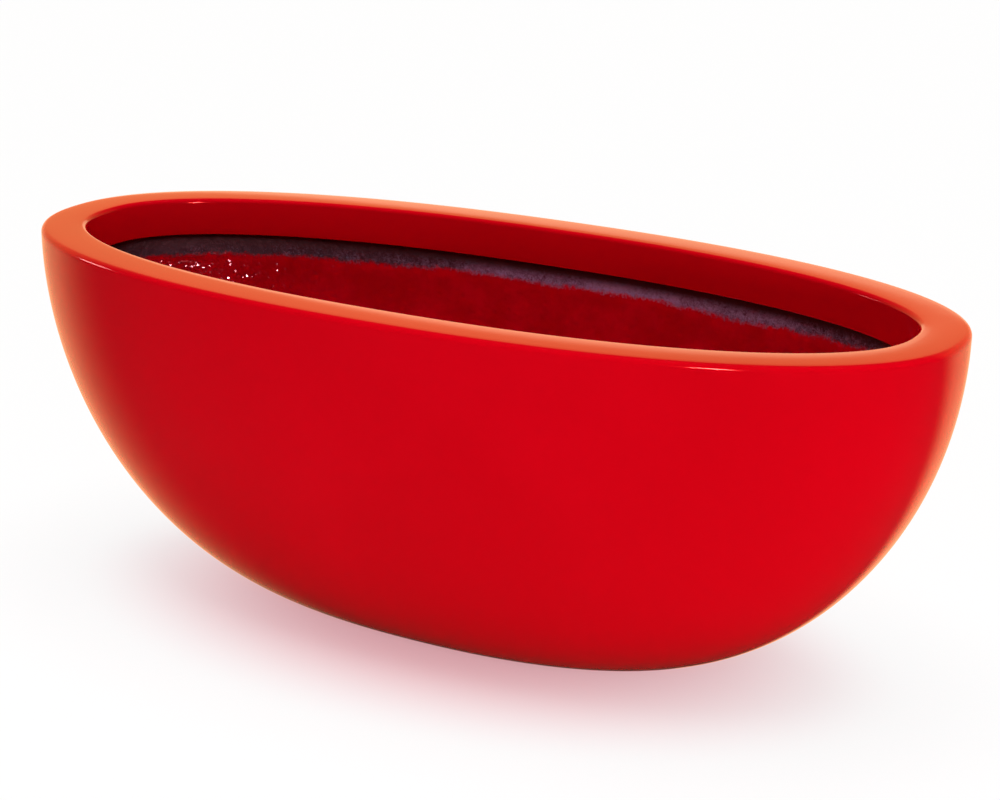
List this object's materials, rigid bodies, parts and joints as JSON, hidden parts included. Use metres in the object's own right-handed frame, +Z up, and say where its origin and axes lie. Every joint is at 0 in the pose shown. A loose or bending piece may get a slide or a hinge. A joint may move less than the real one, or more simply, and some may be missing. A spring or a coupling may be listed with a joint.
{
  "type": "oval planter bowl",
  "caption": "Long oval planter bowl in glossy glass-fibre laminate with a flat rim, a turned-down inner lip and plugged drain holes.",
  "frame": {"origin": "on the floor under the middle of the base", "axes": "+Z up, +X along the bowl's long axis, +Y across it, away from the picture's viewer"},
  "size_m": [1, 0.45, 0.375],
  "materials": {
    "red_gelcoat": "high gloss",
    "raw_laminate": "rough chopped mat",
    "black_rubber": "matte"
  },
  "bodies": {
    "bowl": {"bowl_shell": "red_gelcoat", "rim_collar": "red_gelcoat", "rim_strip": "raw_laminate", "floor_doubler": "raw_laminate", "foot_pads": "black_rubber"},
    "left_plug": {"drain_plug_left": "black_rubber"},
    "right_plug": {"drain_plug_right": "black_rubber"}
  },
  "joints": [
    {"name": "left_plug_lift", "type": "slide", "parent": "bowl", "child": "left_plug", "axis": [0, 0, 1], "range_m": [0, 0.4]},
    {"name": "right_plug_lift", "type": "slide", "parent": "bowl", "child": "right_plug", "axis": [0, 0, 1], "range_m": [0, 0.4]}
  ]
}
